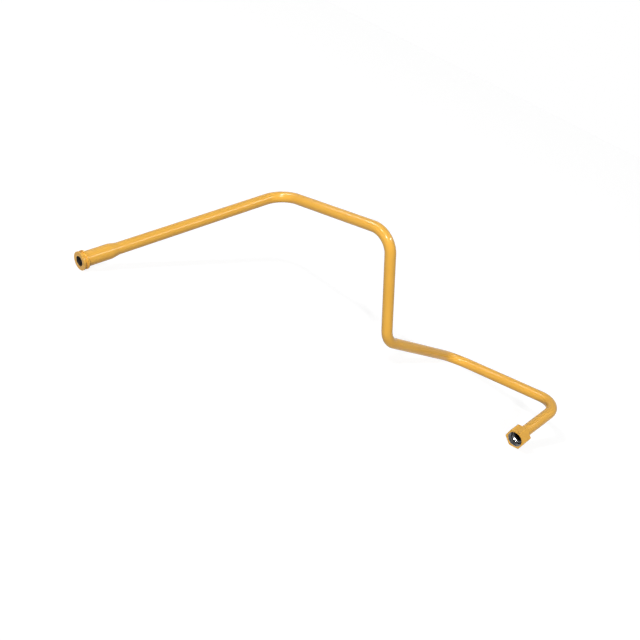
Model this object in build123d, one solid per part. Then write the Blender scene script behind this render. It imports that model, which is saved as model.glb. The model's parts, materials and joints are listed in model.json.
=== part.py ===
from build123d import *
import math
import os

# Steel water tube with five bends, a grooved spigot at one end and a flared end with its nut at
# the other. Sizes are in millimetres and degrees. It is drawn as it is fitted, with X across,
# Y away and Z up from the spigot's mouth, and is then laid on a floor as it comes to rest.

# Tube
tube_diameter = 15.875
tube_wall = 1.65
bend_radius = 31.75

# Runs, measured between the corners where their centrelines meet
run_1_length = 340.0
run_2_length = 211.0
run_3_length = 166.0
run_4_length = 193.5
run_5_length = 192.0
run_6_length = 110.0
run_4_fall = 30.0

# Grooved spigot on the tube's first end
collar_diameter = 24.4
front_collar_width = 2.5
groove_width = 3.2
groove_depth = 1.95
rear_collar_width = 2.2
collar_chamfer = 0.4
spigot_bore = 12.7
spigot_bore_chamfer = 0.35
neck_diameter = 19.85
neck_root_chamfer = 0.5
neck_end = 43.3
taper_length = 9.7
taper_lip = 0.3
socket_depth = 22.0
braze_gap = 0.05

# Flare on the tube's second end
flare_diameter = 19.4
flare_angle = 37.0

# Sleeve behind the flare
sleeve_tube_gap = 0.06
sleeve_seat_gap = 0.1
sleeve_head_diameter = 19.8
sleeve_head_length = 3.6
sleeve_tail_diameter = 18.3
sleeve_tail_inset = 0.5
sleeve_bore_chamfer = 0.3

# Nut over the sleeve
nut_across_flats = 25.4
nut_length = 17.9
nut_reach = 7.4
nut_corner_chamfer = 0.7
nut_chamfer_angle = 30.0
nut_mouth_diameter = 22.2
nut_thread_bore = 20.4
nut_thread_length = 6.3
nut_relief_diameter = 22.0
nut_sleeve_gap = 0.15
nut_rear_chamfer = 0.4

# Trials after which the plane that the tube rests on has long stopped moving
resting_trials = 40

# Directions of the runs
across = Vector(1, 0, 0)
away = Vector(0, 1, 0)
down = Vector(0, 0, -1)

tube_radius = tube_diameter / 2
collar_radius = collar_diameter / 2
flare_radius = flare_diameter / 2


def route_corners():
    # The spigot's mouth, the corner of each bend and the rim of the flare
    sloping = away * math.cos(math.radians(run_4_fall)) + down * math.sin(math.radians(run_4_fall))
    legs = [
        away * run_1_length,
        across * run_2_length,
        down * run_3_length,
        sloping * run_4_length,
        across * run_5_length,
        away * -run_6_length,
    ]
    corners = [Vector(0, 0, 0)]
    for leg in legs:
        corners.append(corners[-1] + leg)
    return corners


corners = route_corners()
mouth = corners[0]
flare_rim = corners[-1]


def turned(profile):
    # A solid turned about Z from points given as radius and height
    face = make_face(Polyline(*profile, close=True))
    return revolve(Plane.XZ * face, Axis.Z)


def rims(solid, radius):
    # The circular edges of a turned solid that have this radius
    circles = solid.edges().filter_by(GeomType.CIRCLE)
    return [edge for edge in circles if abs(edge.radius - radius) < 0.001]


def along_run(point):
    # Puts a solid turned about Z on an end run, with its Z pointing away
    return Location(Plane(origin=point, x_dir=across, z_dir=away))


def flare_profile():
    # The wall turns outwards by the flare's angle and keeps its thickness. Heights count from
    # the rim, which is the part of the flare that lies furthest out.
    angle = math.radians(flare_angle)
    cone_length = (flare_radius - tube_radius) / math.sin(angle)
    rim_height = tube_wall * math.sin(angle)
    outer_corner = rim_height + cone_length * math.cos(angle)
    inner_corner = outer_corner - tube_wall * math.tan(angle / 2)
    return rim_height, outer_corner, inner_corner


flare_rim_height, flare_height, flare_throat = flare_profile()


def make_bent_tube():
    socket_floor = neck_end + taper_length - socket_depth
    first = mouth + away * socket_floor
    last = flare_rim + away * flare_height
    path = FilletPolyline(first, *corners[1:-1], last, radius=bend_radius)
    section = Circle(tube_radius) - Circle(tube_radius - tube_wall)
    tube = sweep(Plane(origin=path @ 0, z_dir=path % 0) * section, path=path)
    flare = turned([
        (tube_radius, flare_height),
        (flare_radius, flare_rim_height),
        (flare_radius - tube_wall * math.cos(math.radians(flare_angle)), 0),
        (tube_radius - tube_wall, flare_throat),
        (tube_radius - tube_wall, flare_height),
    ])
    return tube + along_run(flare_rim) * flare


def make_grooved_end():
    groove_radius = collar_radius - groove_depth
    neck_radius = neck_diameter / 2
    bore_radius = spigot_bore / 2
    socket_radius = tube_radius + braze_gap
    lip_radius = socket_radius + taper_lip
    groove_start = front_collar_width
    groove_end = groove_start + groove_width
    collars_end = groove_end + rear_collar_width
    tail = neck_end + taper_length
    spigot = turned([
        (bore_radius + spigot_bore_chamfer, 0),
        (collar_radius, 0),
        (collar_radius, groove_start),
        (groove_radius, groove_start),
        (groove_radius, groove_end),
        (collar_radius, groove_end),
        (collar_radius, collars_end),
        (neck_radius + neck_root_chamfer, collars_end),
        (neck_radius, collars_end + neck_root_chamfer),
        (neck_radius, neck_end),
        (lip_radius, tail),
        (socket_radius, tail),
        (socket_radius, tail - socket_depth),
        (bore_radius, tail - socket_depth),
        (bore_radius, spigot_bore_chamfer),
    ])
    return along_run(mouth) * chamfer(rims(spigot, collar_radius), collar_chamfer)


def sleeve_shoulder():
    # Height at which the sleeve's head ends and its shoulder starts
    return flare_rim_height + sleeve_seat_gap + sleeve_head_length


def make_flare_sleeve():
    bore_radius = tube_radius + sleeve_tube_gap
    head_radius = sleeve_head_diameter / 2
    tail_radius = sleeve_tail_diameter / 2
    slope = math.tan(math.radians(flare_angle))
    seat_gap = sleeve_seat_gap / math.sin(math.radians(flare_angle))
    seat_end = flare_height + seat_gap - sleeve_tube_gap / slope
    seat_start = seat_end - (head_radius - bore_radius) / slope
    shoulder = sleeve_shoulder()
    tail_end = nut_length - nut_reach - sleeve_tail_inset
    sleeve = turned([
        (bore_radius, seat_end),
        (head_radius, seat_start),
        (head_radius, shoulder),
        (tail_radius, shoulder + head_radius - tail_radius),
        (tail_radius, tail_end),
        (bore_radius + sleeve_bore_chamfer, tail_end),
        (bore_radius, tail_end - sleeve_bore_chamfer),
    ])
    return along_run(flare_rim) * sleeve


def nut_corner():
    # Radius of the nut's corners, and how far from each end the chamfer meets them
    corner_radius = nut_across_flats / 2 / math.cos(math.radians(30))
    return corner_radius, nut_corner_chamfer * math.tan(math.radians(nut_chamfer_angle))


def hexagon_blank():
    # Hexagon with both ends turned down to a round face at the corners
    corner_radius, drop = nut_corner()
    face_radius = corner_radius - nut_corner_chamfer
    hexagon = extrude(RegularPolygon(nut_across_flats / 2, 6, major_radius=False), nut_length)
    envelope = turned([
        (0, 0),
        (face_radius, 0),
        (corner_radius, drop),
        (corner_radius, nut_length - drop),
        (face_radius, nut_length),
        (0, nut_length),
    ])
    return hexagon & envelope


def make_swivel_nut():
    # The thread's crests are a plain bore. Behind it lie a relief and the cone that pulls on the
    # sleeve's shoulder, which slopes by 45 degrees as the shoulder does.
    thread_radius = nut_thread_bore / 2
    mouth_radius = nut_mouth_diameter / 2
    relief_radius = nut_relief_diameter / 2
    rear_radius = sleeve_tail_diameter / 2 + nut_sleeve_gap
    thread_start = mouth_radius - thread_radius
    thread_end = thread_start + nut_thread_length
    cone_foot = nut_reach + sleeve_shoulder() + nut_sleeve_gap + sleeve_head_diameter / 2
    hollow = turned([
        (0, 0),
        (mouth_radius, 0),
        (thread_radius, thread_start),
        (thread_radius, thread_end),
        (relief_radius, thread_end + relief_radius - thread_radius),
        (relief_radius, cone_foot - relief_radius),
        (rear_radius, cone_foot - rear_radius),
        (rear_radius, nut_length - nut_rear_chamfer),
        (rear_radius + nut_rear_chamfer, nut_length),
        (0, nut_length),
    ])
    return along_run(flare_rim - away * nut_reach) * (hexagon_blank() - hollow)


def unit(vector):
    return vector * (1 / vector.length)


def lowest_on_collar(up):
    # Lowest point on the front collar, which lies on one of its chamfer's two rims
    sideways = unit(up - away * up.dot(away))
    face_rim = mouth - sideways * (collar_radius - collar_chamfer)
    side_rim = mouth + away * collar_chamfer - sideways * collar_radius
    return min(face_rim, side_rim, key=lambda point: point.dot(up))


def lowest_on_bend(up):
    # Lowest point on the outside of the fourth bend, which is the lowest of the bends
    before = unit(corners[3] - corners[4])
    after = unit(corners[5] - corners[4])
    half_turn = math.radians(before.get_angle(after)) / 2
    centre = corners[4] + unit(before + after) * (bend_radius / math.sin(half_turn))
    normal = unit(before.cross(after))
    in_plane = up - normal * up.dot(normal)
    return centre - unit(in_plane) * bend_radius - up * tube_radius


def lowest_on_nut(up):
    # Lowest corner of the nut, where its edge meets the chamfer at the mouth
    corner_radius, drop = nut_corner()
    centre = flare_rim - away * (nut_reach - drop)
    points = []
    for index in range(6):
        turn = math.radians(60 * index)
        points.append(centre + (across * math.cos(turn) + down * math.sin(turn)) * corner_radius)
    return min(points, key=lambda point: point.dot(up))


def resting_plane():
    # The tube lies on its front collar, its fourth bend and its nut. The plane through their
    # lowest points changes which points are lowest, so it is found by repeating.
    up = down * -1
    for _ in range(resting_trials):
        first, second, third = lowest_on_collar(up), lowest_on_bend(up), lowest_on_nut(up)
        up = unit((third - first).cross(second - first))
        if up.Z < 0:
            up = up * -1
    between_ends = flare_rim - mouth
    level = unit(between_ends - up * between_ends.dot(up))
    return Plane(origin=first, x_dir=level, z_dir=up)


def lay_down(solids):
    # Floor at Z = 0, X from the spigot towards the nut, origin below the middle
    floor = resting_plane()
    laid = {name: floor.location.inverse() * solid for name, solid in solids.items()}
    box = Compound(list(laid.values())).bounding_box()
    centre = box.center()
    return {name: Pos(-centre.X, -centre.Y, 0) * solid for name, solid in laid.items()}


pieces = lay_down({
    "bent_tube": make_bent_tube(),
    "grooved_end": make_grooved_end(),
    "flare_sleeve": make_flare_sleeve(),
    "swivel_nut": make_swivel_nut(),
})

os.makedirs("parts", exist_ok=True)
for name, piece in pieces.items():
    export_step(piece, f"parts/{name}.step")
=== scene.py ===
import bpy
import json
import math
from mathutils import Matrix, Vector


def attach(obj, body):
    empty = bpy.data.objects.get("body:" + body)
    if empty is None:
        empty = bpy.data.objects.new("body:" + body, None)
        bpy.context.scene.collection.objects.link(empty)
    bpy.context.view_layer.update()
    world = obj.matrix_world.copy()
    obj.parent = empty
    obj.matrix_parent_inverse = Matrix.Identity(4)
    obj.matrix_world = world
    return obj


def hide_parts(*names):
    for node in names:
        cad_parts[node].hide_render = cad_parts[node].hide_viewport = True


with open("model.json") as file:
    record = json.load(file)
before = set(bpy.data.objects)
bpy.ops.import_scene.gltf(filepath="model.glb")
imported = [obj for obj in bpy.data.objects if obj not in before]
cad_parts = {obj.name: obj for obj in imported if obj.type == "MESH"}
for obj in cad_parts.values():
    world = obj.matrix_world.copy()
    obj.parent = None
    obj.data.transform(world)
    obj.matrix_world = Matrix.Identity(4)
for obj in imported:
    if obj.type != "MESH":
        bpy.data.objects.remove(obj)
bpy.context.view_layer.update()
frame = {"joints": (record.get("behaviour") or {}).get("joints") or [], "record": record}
print("frame loaded")

mm = 0.001
near = 0.01 * mm            # places closer than this are the same
weldGap = 0.001 * mm        # points closer than this are merged
roundSteps = 4              # faces across a rounded edge

# The pieces are drawn as the tube is fitted, from the spigot's mouth: X across, Y away, Z up.
# At the end each one is laid down as the frame shows it.
across = Vector((1, 0, 0))
away = Vector((0, 1, 0))
down = Vector((0, 0, -1))

tubeSizes = {
    "radius": 7.9375 * mm,
    "wall": 1.65 * mm,
    "bendRadius": 31.75 * mm,
    "runs": (340 * mm, 211 * mm, 166 * mm, 193.5 * mm, 192 * mm, 110 * mm),
    "fall": 30,                 # degrees, fourth run
    "start": 31 * mm,           # floor of the spigot's socket
    "flareRadius": 9.7 * mm,
    "flareAngle": 37,
    "flareRootRound": 0.7 * mm,
    "lipRound": 0.18 * mm,
    "lipSteps": 3,
    "lipAngle": 60,             # edges sharper than this are rounded
    "sides": 64,
    "degreesPerStep": 3.75,
    "paintStart": 11.5 * mm,    # bare from the flare to here, under the nut
    "boreMargin": 0.05 * mm,    # faces this near the bore take the bore's painted shade
}


def routeCorners():
    # The spigot's mouth, the corner of each bend and the rim of the flare
    slope = math.radians(tubeSizes["fall"])
    sloping = away * math.cos(slope) + down * math.sin(slope)
    directions = [away, across, down, sloping, across, -away]
    corners = [Vector((0, 0, 0))]
    for direction, length in zip(directions, tubeSizes["runs"]):
        corners.append(corners[-1] + direction * length)
    return corners, directions


routePoints, routeDirections = routeCorners()
flareRim = routePoints[-1]


# Laying down

def squareAxes(first, towards):
    # Three directions square to one another: the first, the one nearest to another given
    # direction, and the one square to both
    second = (towards - first * towards.dot(first)).normalized()
    return Matrix((first, second, first.cross(second))).transposed()


def findLay():
    # The first and last runs are parallel, so the direction of both and the step from one to the
    # other fix how the tube is turned. The flare's rim then fixes its place.
    mounts = {mount["name"]: mount for mount in frame["record"]["mounts"]}
    joints = {joint["name"]: joint for joint in frame["joints"]}
    outwards = Vector(mounts["spigot"]["axis"]).normalized()
    spigotPlace = Vector(mounts["spigot"]["pos_m"])
    rimPlace = Vector(joints["nut_swivel"]["pos_m"])
    turn = squareAxes(-outwards, rimPlace - spigotPlace) @ squareAxes(away, flareRim).transposed()
    return Matrix.Translation(rimPlace - turn @ flareRim) @ turn.to_4x4()


layDown = findLay()


# Helpers for modelling

def activate(piece):
    if bpy.context.object and bpy.context.object.mode != "OBJECT":
        bpy.ops.object.mode_set(mode="OBJECT")
    bpy.ops.object.select_all(action="DESELECT")
    bpy.context.view_layer.objects.active = piece
    piece.select_set(True)


def namePiece(name):
    # Names the primitive just added and puts its place in its mesh
    piece = bpy.context.object
    piece.name = name
    piece.data.name = name
    bpy.ops.object.transform_apply(location=True, rotation=True, scale=True)
    return piece


def startRing(name, radius, along, sides):
    # A circle about the Y axis, left in edit mode with all of it selected
    bpy.ops.object.select_all(action="DESELECT")
    bpy.ops.mesh.primitive_circle_add(
        vertices=sides, radius=radius, location=(0, along, 0), rotation=(math.radians(-90), 0, 0))
    piece = namePiece(name)
    bpy.ops.object.mode_set(mode="EDIT")
    bpy.ops.mesh.select_all(action="SELECT")
    return piece


def pullRing(step):
    bpy.ops.mesh.extrude_region_move(TRANSFORM_OT_translate={"value": step})


def sizeRing(factor, centre):
    bpy.ops.transform.resize(value=(factor, 1, factor), center_override=centre)


def offAxis(point):
    # Distance from the Y axis
    return math.hypot(point.x, point.z)


def selectVertices(piece, wanted):
    # Selects in edit mode the vertices that pass the test
    bpy.ops.mesh.select_mode(type="VERT")
    bpy.ops.mesh.select_all(action="DESELECT")
    bpy.ops.object.mode_set(mode="OBJECT")
    for vertex in piece.data.vertices:
        vertex.select = wanted(vertex.co)
    bpy.ops.object.mode_set(mode="EDIT")


def selectEdges(piece, wanted):
    # Selects in edit mode the edges whose two ends pass the test
    bpy.ops.mesh.select_mode(type="EDGE")
    bpy.ops.mesh.select_all(action="DESELECT")
    bpy.ops.object.mode_set(mode="OBJECT")
    points = piece.data.vertices
    for edge in piece.data.edges:
        edge.select = wanted(points[edge.vertices[0]].co, points[edge.vertices[1]].co)
    bpy.ops.object.mode_set(mode="EDIT")


def roundRing(piece, centre, radius, size):
    # Rounds the edge that runs as a ring about this centre, square to Y
    def onRing(point):
        sameHeight = abs(point.y - centre.y) < near
        return sameHeight and abs(offAxis(point - centre) - radius) < near

    selectEdges(piece, lambda first, second: onRing(first) and onRing(second))
    bpy.ops.mesh.bevel(offset=size, segments=roundSteps, affect="EDGES")


def cleanNormals():
    bpy.ops.mesh.select_all(action="SELECT")
    bpy.ops.mesh.remove_doubles(threshold=weldGap)
    bpy.ops.mesh.normals_make_consistent(inside=False)


def applyModifiers(piece):
    activate(piece)
    for modifier in list(piece.modifiers):
        bpy.ops.object.modifier_apply(modifier=modifier.name)


def turnPiece(name, corners, sides=96, hollow=True):
    # A turned solid about the Y axis: each corner is along, radius and the round on its edge.
    # Its first and last rings are joined, or filled where the piece has no hole.
    along, radius = corners[0][:2]
    piece = startRing(name, radius, along, sides)
    for nextAlong, nextRadius, _ in corners[1:]:
        pullRing((0, nextAlong - along, 0))
        if abs(nextRadius - radius) > weldGap:
            sizeRing(nextRadius / radius, (0, nextAlong, 0))
        along, radius = nextAlong, nextRadius
    bpy.ops.mesh.select_all(action="DESELECT")
    bpy.ops.mesh.select_mode(type="EDGE")
    bpy.ops.mesh.select_non_manifold()
    if hollow:
        bpy.ops.mesh.bridge_edge_loops()
    else:
        bpy.ops.mesh.fill_holes(sides=0)
    cleanNormals()
    for along, radius, edgeRound in corners:
        if edgeRound:
            roundRing(piece, away * along, radius, edgeRound)
    bpy.ops.object.mode_set(mode="OBJECT")
    return piece


def settle(piece, place=Vector((0, 0, 0)), smoothAngle=32, flatWeight=70):
    # Smooths the finished piece, keeps its flats flat and lays it down, with its place in its mesh
    activate(piece)
    bpy.ops.object.shade_smooth_by_angle(angle=math.radians(smoothAngle))
    weighted = piece.modifiers.new("flatFaces", "WEIGHTED_NORMAL")
    weighted.keep_sharp = True
    weighted.weight = flatWeight
    applyModifiers(piece)
    piece.matrix_world = layDown @ Matrix.Translation(place)
    bpy.ops.object.transform_apply(location=True, rotation=True, scale=True)


def giveFaces(piece, materials, choose):
    for material in materials:
        piece.data.materials.append(material)
    for face in piece.data.polygons:
        face.material_index = choose(face)


# Materials: each drifts between its two colours, and patchRange says how sharply

paintLook = {
    "colour": (0.795, 0.42, 0.062, 1),
    "darkColour": (0.76, 0.396, 0.054, 1),
    "patchScale": 14,
    "patchDetail": 3,
    "patchRange": (0.35, 0.65),
    "roughness": 0.2,
    "refraction": 1.3,
    "peelScale": 900,
    "peelDetail": 2,
    "peelStrength": 0.35,
    "peelDepth": 0.012 * mm,
}
steelLook = {
    "colour": (0.34, 0.35, 0.36, 1),
    "darkColour": (0.24, 0.24, 0.25, 1),
    "patchScale": 420,
    "patchDetail": 4,
    "patchRange": (0.3, 0.7),
    "roughness": 0.22,
    "lineScale": 260,
    "lineWaver": 1.5,
    "lineDetail": 2,
    "lineStrength": 0.25,
    "lineDepth": 0.01 * mm,
}
# The nut's inside: the same steel coloured darker, as painted shade inside its bore
threadShadeLook = {
    **steelLook,
    "colour": (0.30, 0.307, 0.315, 1),
    "darkColour": (0.18, 0.18, 0.187, 1),
    "roughness": 0.2,
}
# The bores: near-black, as painted shade deep in the passage
boreShadeLook = {
    "colour": (0.075, 0.066, 0.058, 1),
    "darkColour": (0.035, 0.031, 0.028, 1),
    "patchScale": 260,
    "patchDetail": 5,
    "patchRange": (0.35, 0.7),
    "metallic": 0.7,
    "roughness": (0.42, 0.62),
}


def newMaterial(name):
    material = bpy.data.materials.new(name)
    material.use_nodes = True
    nodes = material.node_tree.nodes
    return material, nodes, material.node_tree.links, nodes["Principled BSDF"]


def addNoise(nodes, links, place, scale, detail):
    noise = nodes.new("ShaderNodeTexNoise")
    noise.inputs["Scale"].default_value = scale
    noise.inputs["Detail"].default_value = detail
    links.new(place.outputs["Object"], noise.inputs["Vector"])
    return noise.outputs["Fac"]


def addPatches(nodes, links, place, look, shader):
    # The two colours, mixed by noise
    patches = addNoise(nodes, links, place, look["patchScale"], look["patchDetail"])
    ramp = nodes.new("ShaderNodeValToRGB")
    colours = (look["darkColour"], look["colour"])
    for stop, position, colour in zip(ramp.color_ramp.elements, look["patchRange"], colours):
        stop.position = position
        stop.color = colour
    links.new(patches, ramp.inputs["Fac"])
    links.new(ramp.outputs["Color"], shader.inputs["Base Color"])
    return patches


def addBump(nodes, links, height, strength, depth, shader):
    bump = nodes.new("ShaderNodeBump")
    bump.inputs["Strength"].default_value = strength
    bump.inputs["Distance"].default_value = depth
    links.new(height, bump.inputs["Height"])
    links.new(bump.outputs["Normal"], shader.inputs["Normal"])


def makePaint():
    # Sprayed enamel: slow drift of tone, and the fine waves that a sprayed coat dries with
    look = paintLook
    material, nodes, links, shader = newMaterial("yellowPaint")
    shader.inputs["Roughness"].default_value = look["roughness"]
    shader.inputs["IOR"].default_value = look["refraction"]
    place = nodes.new("ShaderNodeTexCoord")
    addPatches(nodes, links, place, look, shader)
    peel = addNoise(nodes, links, place, look["peelScale"], look["peelDetail"])
    addBump(nodes, links, peel, look["peelStrength"], look["peelDepth"], shader)
    return material


def makeSteel(name, look):
    # Machined steel: fine lines square to the axis that the pieces were turned about
    material, nodes, links, shader = newMaterial(name)
    shader.inputs["Metallic"].default_value = 1
    shader.inputs["Roughness"].default_value = look["roughness"]
    place = nodes.new("ShaderNodeTexCoord")
    addPatches(nodes, links, place, look, shader)
    turned = nodes.new("ShaderNodeMapping")
    turned.vector_type = "TEXTURE"
    turned.inputs["Rotation"].default_value = layDown.to_euler()
    lines = nodes.new("ShaderNodeTexWave")
    lines.wave_type = "BANDS"
    lines.bands_direction = "Y"
    lines.inputs["Scale"].default_value = look["lineScale"]
    lines.inputs["Distortion"].default_value = look["lineWaver"]
    lines.inputs["Detail"].default_value = look["lineDetail"]
    links.new(place.outputs["Object"], turned.inputs["Vector"])
    links.new(turned.outputs["Vector"], lines.inputs["Vector"])
    addBump(nodes, links, lines.outputs["Fac"], look["lineStrength"], look["lineDepth"], shader)
    return material


def makeBoreShadeSteel():
    # The water's passage: unpainted and dull, coloured near-black as painted shade of the deep
    # bore
    look = boreShadeLook
    material, nodes, links, shader = newMaterial("boreShadeSteel")
    shader.inputs["Metallic"].default_value = look["metallic"]
    place = nodes.new("ShaderNodeTexCoord")
    patches = addPatches(nodes, links, place, look, shader)
    gloss = nodes.new("ShaderNodeMapRange")
    gloss.inputs["To Min"].default_value, gloss.inputs["To Max"].default_value = look["roughness"]
    links.new(patches, gloss.inputs["Value"])
    links.new(gloss.outputs["Result"], shader.inputs["Roughness"])
    return material


yellowPaint = makePaint()
bareSteel = makeSteel("bareSteel", steelLook)
threadShadeSteel = makeSteel("threadShadeSteel", threadShadeLook)
boreShadeSteel = makeBoreShadeSteel()
print("materials made")


# Tube

def flareHeights():
    # How far behind the rim the flare is widest, and where it leaves the tube
    angle = math.radians(tubeSizes["flareAngle"])
    widest = tubeSizes["wall"] * math.sin(angle)
    root = widest + (tubeSizes["flareRadius"] - tubeSizes["radius"]) / math.tan(angle)
    return widest, root


def bendRing(corner, before, after, centreLine):
    # Pulls the ring to where the bend starts, then spins it round the bend
    turn = before.angle(after)
    reach = tubeSizes["bendRadius"] * math.tan(turn / 2)
    toCentre = (after - before).normalized()
    centre = corner + toCentre * (tubeSizes["bendRadius"] / math.cos(turn / 2))
    pullRing(corner - before * reach - centreLine)
    steps = round(math.degrees(turn) / tubeSizes["degreesPerStep"])
    bpy.ops.mesh.spin(steps=steps, angle=-turn, center=centre, axis=before.cross(after))
    return corner + after * reach


def makeTube():
    s = tubeSizes
    centreLine = away * s["start"]
    piece = startRing("paintedTube", s["radius"], s["start"], s["sides"])
    for index in range(1, len(routeDirections)):
        before, after = routeDirections[index - 1:index + 1]
        centreLine = bendRing(routePoints[index], before, after, centreLine)
    widest, root = flareHeights()
    flareRoot = flareRim + away * root
    pullRing(flareRoot - centreLine)
    pullRing(away * (widest - root))
    sizeRing(s["flareRadius"] / s["radius"], flareRim + away * widest)
    cleanNormals()
    roundRing(piece, flareRoot, s["radius"], s["flareRootRound"])
    bpy.ops.object.mode_set(mode="OBJECT")
    for material in (yellowPaint, boreShadeSteel, bareSteel):
        piece.data.materials.append(material)
    # The wall's inside and its rims take the near-black painted shade of the bore
    wall = piece.modifiers.new("wall", "SOLIDIFY")
    wall.thickness = s["wall"]
    wall.offset = -1
    wall.use_even_offset = True
    wall.material_offset = 1
    wall.material_offset_rim = 1
    lip = piece.modifiers.new("lip", "BEVEL")
    lip.width = s["lipRound"]
    lip.segments = s["lipSteps"]
    lip.limit_method = "ANGLE"
    lip.angle_limit = math.radians(s["lipAngle"])
    applyModifiers(piece)
    # Under the nut the bore keeps its painted shade and the outside is bare steel
    boreReach = s["radius"] - s["wall"] + s["boreMargin"]
    for face in piece.data.polygons:
        back = face.center - flareRim
        # Only the flared end lies this near to the rim and to the last run's line
        if back.y < s["paintStart"] and offAxis(back) < 2 * s["radius"]:
            face.material_index = 1 if offAxis(back) < boreReach else 2
    settle(piece)
    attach(piece, "tube")
    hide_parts("bent_tube")


makeTube()
print("tube bent and flared")


# Grooved spigot on the tube's first end

spigotSizes = {
    "collar": 12.2 * mm,        # this and the next five are radii
    "groove": 10.25 * mm,
    "neck": 9.925 * mm,
    "bore": 6.35 * mm,
    "socket": 7.9875 * mm,
    "lip": 8.2875 * mm,
    "frontCollarEnd": 2.5 * mm,
    "grooveEnd": 5.7 * mm,
    "rearCollarEnd": 7.9 * mm,
    "neckEnd": 43.3 * mm,
    "tail": 53 * mm,
    "boreChamfer": 0.35 * mm,
    "mouthRound": 0.12 * mm,
    "collarRound": 0.42 * mm,
    "grooveRootRound": 0.25 * mm,
    "neckRootRound": 0.45 * mm,
    "taperRound": 0.8 * mm,
    "beadLength": 0.7 * mm,     # braze filler where the tube leaves the socket
    "beadDrop": 0.19 * mm,      # from the lip to the middle of the bead
    "beadEnd": 0.02 * mm,       # above the tube
    "boreMargin": 0.2 * mm,     # faces this near the bore are unpainted, near-black as painted shade
}


def makeSpigot():
    s = spigotSizes
    piece = turnPiece("turnedSpigot", [
        (0, s["bore"] + s["boreChamfer"], s["mouthRound"]),
        (0, s["collar"], s["collarRound"]),
        (s["frontCollarEnd"], s["collar"], s["collarRound"]),
        (s["frontCollarEnd"], s["groove"], s["grooveRootRound"]),
        (s["grooveEnd"], s["groove"], s["grooveRootRound"]),
        (s["grooveEnd"], s["collar"], s["collarRound"]),
        (s["rearCollarEnd"], s["collar"], s["collarRound"]),
        (s["rearCollarEnd"], s["neck"], s["neckRootRound"]),
        (s["neckEnd"], s["neck"], s["taperRound"]),
        (s["tail"], s["lip"], 0),
        (s["tail"] + s["beadLength"] / 2, s["lip"] - s["beadDrop"], 0),
        (s["tail"] + s["beadLength"], tubeSizes["radius"] + s["beadEnd"], 0),
        (s["tail"], s["socket"], 0),
        (tubeSizes["start"], s["socket"], 0),
        (tubeSizes["start"], s["bore"], 0),
        (s["boreChamfer"], s["bore"], 0),
    ])
    # The bore and its chamfer take the near-black painted shade
    boreReach = s["bore"] + s["boreMargin"]
    giveFaces(piece, [yellowPaint, boreShadeSteel], lambda face: int(offAxis(face.center) < boreReach))
    settle(piece)
    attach(piece, "tube")
    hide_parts("grooved_end")


makeSpigot()
print("spigot turned")


# Sleeve behind the flare

sleeveSizes = {
    "head": 9.9 * mm,           # this and the tail are radii
    "tail": 9.15 * mm,
    "headLength": 3.6 * mm,
    "tailEnd": 10 * mm,
    "tubeGap": 0.06 * mm,
    "seatGap": 0.1 * mm,
    "boreChamfer": 0.3 * mm,
    "seatRound": 0.1 * mm,
    "edgeRound": 0.15 * mm,
}


def sleeveShoulder():
    # How far behind the flare's rim the sleeve's head ends
    return flareHeights()[0] + sleeveSizes["seatGap"] + sleeveSizes["headLength"]


def makeSleeve():
    s = sleeveSizes
    angle = math.radians(tubeSizes["flareAngle"])
    bore = tubeSizes["radius"] + s["tubeGap"]
    root = flareHeights()[1]
    seatEnd = root + s["seatGap"] / math.sin(angle) - s["tubeGap"] / math.tan(angle)
    seatStart = seatEnd - (s["head"] - bore) / math.tan(angle)
    shoulder = sleeveShoulder()
    piece = turnPiece("turnedSleeve", [
        (seatEnd, bore, 0),
        (seatStart, s["head"], s["seatRound"]),
        (shoulder, s["head"], s["edgeRound"]),
        (shoulder + s["head"] - s["tail"], s["tail"], s["edgeRound"]),
        (s["tailEnd"], s["tail"], s["edgeRound"]),
        (s["tailEnd"], bore + s["boreChamfer"], 0),
        (s["tailEnd"] - s["boreChamfer"], bore, 0),
    ])
    piece.data.materials.append(bareSteel)
    settle(piece, flareRim)
    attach(piece, "sleeve")
    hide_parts("flare_sleeve")


makeSleeve()
print("sleeve turned")


# Hexagon nut with its thread

nutSizes = {
    "acrossFlats": 25.4 * mm,
    "length": 17.9 * mm,
    "reach": 7.4 * mm,          # from its mouth to the flare's rim
    "cornerRound": 0.45 * mm,
    "cornerChamfer": 0.7 * mm,
    "chamferAngle": 30,
    "mouth": 11.1 * mm,         # this and the next four are radii
    "threadCrest": 10.2 * mm,
    "threadRoot": 10.95 * mm,
    "relief": 11 * mm,
    "rear": 9.3 * mm,
    "threadLength": 6.3 * mm,
    "threadAngle": 60,
    "pitch": 1.814 * mm,
    "threadSteps": 48,          # in each turn
    "sleeveGap": 0.15 * mm,
    "rearChamfer": 0.4 * mm,
    "steelMargin": 0.05 * mm,   # faces this near the relief are unpainted, darker as painted shade
    "smoothAngle": 28,
}
cuttingTools = {
    "beyond": 1 * mm,           # the boring tool starts and ends this far outside the nut
    "tapInside": 0.2 * mm,      # the tap starts this far inside the thread's crests
    "tapLead": 1,               # turns before the mouth
    "tapRunOut": 0.3,           # turns past the thread's end
}


def threadSpan():
    # Where the thread starts and ends behind the nut's mouth, which has a 45 degree chamfer
    start = nutSizes["mouth"] - nutSizes["threadCrest"]
    return start, start + nutSizes["threadLength"]


def cutWith(piece, tool, operation):
    cut = piece.modifiers.new("cut", "BOOLEAN")
    cut.operation = operation
    cut.solver = "EXACT"
    cut.object = tool
    applyModifiers(piece)
    bpy.data.objects.remove(tool)


def closeTap(tap, height, turn):
    # Fills the profile at one end of the winding
    outwards = Vector((math.cos(turn), 0, -math.sin(turn)))

    def atEnd(point):
        beside = point - away * point.y - outwards * offAxis(point)
        return beside.length < near and abs(point.y - height) < nutSizes["pitch"] / 2

    selectVertices(tap, atEnd)
    bpy.ops.mesh.select_mode(type="EDGE")
    bpy.ops.mesh.edge_face_add()


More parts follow.
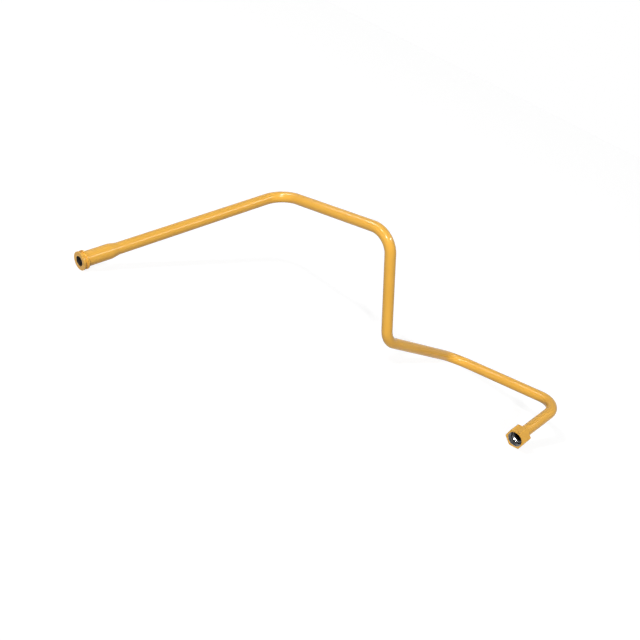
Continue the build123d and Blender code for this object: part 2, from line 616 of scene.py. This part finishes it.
def makeTap():
    # The groove that a tap leaves: a flat profile wound about the Y axis
    s = nutSizes
    inner, outer = s["threadCrest"] - cuttingTools["tapInside"], s["threadRoot"]
    rootFlat = s["pitch"] / 8   # as on any thread of this form
    start = -cuttingTools["tapLead"] * s["pitch"]
    turns = threadSpan()[1] / s["pitch"] + cuttingTools["tapLead"] + cuttingTools["tapRunOut"]
    bpy.ops.object.select_all(action="DESELECT")
    bpy.ops.mesh.primitive_plane_add(size=1, location=((inner + outer) / 2, start, 0))
    bpy.context.object.scale = (outer - inner, rootFlat, 1)
    tap = namePiece("tap")
    bpy.ops.object.mode_set(mode="EDIT")
    selectVertices(tap, lambda point: point.x < (inner + outer) / 2)
    flank = (outer - inner) * math.tan(math.radians(s["threadAngle"] / 2))
    widening = 1 + 2 * flank / rootFlat
    bpy.ops.transform.resize(value=(1, widening, 1), center_override=(inner, start, 0))
    bpy.ops.mesh.select_all(action="SELECT")
    bpy.ops.mesh.delete(type="ONLY_FACE")
    bpy.ops.object.mode_set(mode="OBJECT")
    wind = tap.modifiers.new("wind", "SCREW")
    wind.axis = "Y"
    wind.angle = turns * 2 * math.pi
    wind.screw_offset = turns * s["pitch"]
    wind.steps = round(turns * s["threadSteps"])
    wind.render_steps = wind.steps
    wind.use_smooth_shade = False
    applyModifiers(tap)
    bpy.ops.object.mode_set(mode="EDIT")
    closeTap(tap, start, 0)
    closeTap(tap, start + turns * s["pitch"], turns * 2 * math.pi)
    cleanNormals()
    bpy.ops.object.mode_set(mode="OBJECT")
    return tap


def makeNut():
    s = nutSizes
    corner = s["acrossFlats"] / math.sqrt(3)
    endFace = corner - s["cornerChamfer"]
    drop = s["cornerChamfer"] * math.tan(math.radians(s["chamferAngle"]))
    bpy.ops.object.select_all(action="DESELECT")
    bpy.ops.mesh.primitive_cylinder_add(
        vertices=6, radius=corner, depth=s["length"], location=(0, s["length"] / 2, 0),
        rotation=(math.radians(-90), math.radians(90), 0))
    nut = namePiece("threadedNut")
    bpy.ops.object.mode_set(mode="EDIT")
    selectEdges(nut, lambda first, second: abs(first.y - second.y) > s["length"] / 2)
    bpy.ops.mesh.bevel(offset=s["cornerRound"], segments=roundSteps, affect="EDGES")
    cleanNormals()
    bpy.ops.object.mode_set(mode="OBJECT")
    envelope = turnPiece("chamferTool", [
        (0, endFace, 0),
        (drop, corner, 0),
        (s["length"] - drop, corner, 0),
        (s["length"], endFace, 0),
    ], hollow=False)
    cutWith(nut, envelope, "INTERSECT")
    beyond = cuttingTools["beyond"]
    threadStart, threadEnd = threadSpan()
    # The cone behind the relief slopes by 45 degrees, as the sleeve's shoulder does
    coneFoot = s["reach"] + sleeveShoulder() + s["sleeveGap"] + sleeveSizes["head"]
    reamer = turnPiece("boreTool", [
        (-beyond, s["mouth"] + beyond, 0),
        (threadStart, s["threadCrest"], 0),
        (threadEnd, s["threadCrest"], 0),
        (threadEnd + s["relief"] - s["threadCrest"], s["relief"], 0),
        (coneFoot - s["relief"], s["relief"], 0),
        (coneFoot - s["rear"], s["rear"], 0),
        (s["length"] - s["rearChamfer"], s["rear"], 0),
        (s["length"] + beyond, s["rear"] + s["rearChamfer"] + beyond, 0),
    ], hollow=False)
    cutWith(nut, reamer, "DIFFERENCE")
    cutWith(nut, makeTap(), "DIFFERENCE")
    bpy.ops.object.mode_set(mode="EDIT")
    cleanNormals()
    bpy.ops.object.mode_set(mode="OBJECT")
    points = nut.data.vertices
    # The inside of the nut takes the darker steel of painted shade
    steelReach = s["relief"] + s["steelMargin"]

    def insideOrOut(face):
        return int(max(offAxis(points[index].co) for index in face.vertices) < steelReach)

    nut.data.materials.clear()
    giveFaces(nut, [yellowPaint, threadShadeSteel], insideOrOut)
    settle(nut, flareRim - away * s["reach"], s["smoothAngle"])
    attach(nut, "nut")
    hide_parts("swivel_nut")


makeNut()
print("nut cut and threaded")


# Floor, world, lamps and camera

stageLook = {
    "floorSize": 16,
    "floorColour": (0.22, 0.22, 0.22, 1),
    "floorRoughness": 0.9,
    "floorGlow": 0.89,          # seen by the camera and in reflections alone
    "worldLight": 0.1,
}

# A lamp hangs over the tube. Its place is as the tube is fitted, in metres from the mouth.
highLamp = {
    "place": (0.345, -0.036, 0.715),
    "power": 18.3,
    "radius": 0.04,
}

# The far ones: direction towards the lamp as the tube is fitted, strength, width in degrees,
# and whether it lights surfaces and shows in reflections
farLamps = {
    "frontLamp": ((0.70, -0.58, 0.42), 1.93, 6, True, False),
    "lowLamp": ((0.55, -0.82, 0.17), 0.81, 6, True, False),
    "topLamp": ((0, 0, 1), 0.15, 6, True, False),
    "backLamp": ((-0.62, 0.70, 0.10), 0.8, 30, True, False),
    "glintLamp": ((0.55, -0.53, 0.64), 3.2, 6, False, True),
}

# Strips that show in reflections alone: the middle, the point that they face and the direction
# of the long side, as the tube is fitted, then length, width and power
stripLamps = {
    "rightStrip": ((1.08, 0.93, 0.63), (0, 0.17, 0), (0, 1, 0), 0.9, 0.04, 11),
    "leftStrip": ((-0.17, 0.221, 0.778), (0.30, 0.508, -0.263), (1, 0, 0), 0.6, 0.04, 7.8),
}

# Where the photo was taken from, with the tube as it lies
cameraView = {
    "place": (-0.25466, -1.08426, 0.46117),
    "turn": (65.8377, -25.3233, -1.6247),
    "lens": 47.5516,
    "clipEnd": 30,
}


def backgroundLevel(nodes, links, low, high):
    # High for rays from the camera, in reflections and through glass, and low for other light
    rays = nodes.new("ShaderNodeLightPath")
    level = nodes.new("ShaderNodeMapRange")
    level.inputs["To Min"].default_value = low
    level.inputs["To Max"].default_value = high
    seen = rays.outputs["Is Camera Ray"]
    for kind in ("Is Glossy Ray", "Is Transmission Ray"):
        either = nodes.new("ShaderNodeMath")
        either.operation = "MAXIMUM"
        links.new(seen, either.inputs[0])
        links.new(rays.outputs[kind], either.inputs[1])
        seen = either.outputs[0]
    links.new(seen, level.inputs["Value"])
    return level.outputs["Result"]


def makeFloor():
    bpy.ops.object.select_all(action="DESELECT")
    bpy.ops.mesh.primitive_plane_add(size=stageLook["floorSize"], location=(0, 0, 0))
    floor = bpy.context.object
    floor.name = "floor"
    material, nodes, links, shader = newMaterial("paleFloor")
    shader.inputs["Base Color"].default_value = stageLook["floorColour"]
    shader.inputs["Roughness"].default_value = stageLook["floorRoughness"]
    shader.inputs["Specular IOR Level"].default_value = 0
    glow = nodes.new("ShaderNodeEmission")
    both = nodes.new("ShaderNodeAddShader")
    level = backgroundLevel(nodes, links, 0, stageLook["floorGlow"])
    links.new(level, glow.inputs["Strength"])
    links.new(shader.outputs[0], both.inputs[0])
    links.new(glow.outputs[0], both.inputs[1])
    links.new(both.outputs[0], nodes["Material Output"].inputs["Surface"])
    floor.data.materials.append(material)


def makeWorld():
    world = bpy.data.worlds.new("whiteRoom")
    world.use_nodes = True
    nodes, links = world.node_tree.nodes, world.node_tree.links
    background = nodes["Background"]
    background.inputs["Color"].default_value = (1, 1, 1, 1)
    level = backgroundLevel(nodes, links, stageLook["worldLight"], 1)
    links.new(level, background.inputs["Strength"])
    bpy.context.scene.world = world


def addLamp(name, kind, place, turn=(0, 0, 0)):
    bpy.ops.object.light_add(type=kind, location=place, rotation=turn)
    lamp = bpy.context.object
    lamp.name = name
    return lamp


def addHighLamp():
    # Lights every part of the tube as strongly, near or far
    lamp = addLamp("highLamp", "POINT", layDown @ Vector(highLamp["place"]))
    lamp.data.energy = highLamp["power"]
    lamp.data.shadow_soft_size = highLamp["radius"]
    lamp.data.use_nodes = True
    nodes, links = lamp.data.node_tree.nodes, lamp.data.node_tree.links
    falloff = nodes.new("ShaderNodeLightFalloff")
    falloff.inputs["Strength"].default_value = 1
    links.new(falloff.outputs["Constant"], nodes["Emission"].inputs["Strength"])


def addFarLamps():
    for name, (direction, strength, width, lights, reflected) in farLamps.items():
        towards = layDown.to_3x3() @ Vector(direction)
        lamp = addLamp(name, "SUN", towards, towards.to_track_quat("Z", "Y").to_euler())
        lamp.data.energy = strength
        lamp.data.angle = math.radians(width)
        lamp.visible_diffuse = lights
        lamp.visible_glossy = reflected


def addStripLamps():
    for name, (middle, faced, side, length, width, power) in stripLamps.items():
        place = layDown @ Vector(middle)
        back = (place - layDown @ Vector(faced)).normalized()
        facing, longSide, shortSide = squareAxes(back, layDown.to_3x3() @ Vector(side)).col
        axes = Matrix((longSide, shortSide, facing)).transposed()
        lamp = addLamp(name, "AREA", place, axes.to_euler())
        lamp.data.shape = "RECTANGLE"
        lamp.data.size = length
        lamp.data.size_y = width
        lamp.data.energy = power
        lamp.visible_diffuse = False


def makeCamera():
    turn = [math.radians(angle) for angle in cameraView["turn"]]
    bpy.ops.object.camera_add(location=cameraView["place"], rotation=turn)
    camera = bpy.context.object
    camera.data.lens = cameraView["lens"]
    camera.data.clip_end = cameraView["clipEnd"]
    bpy.context.scene.camera = camera


makeFloor()
makeWorld()
addHighLamp()
addFarLamps()
addStripLamps()
makeCamera()
bpy.context.scene.view_settings.view_transform = "Standard"
print("stage set")
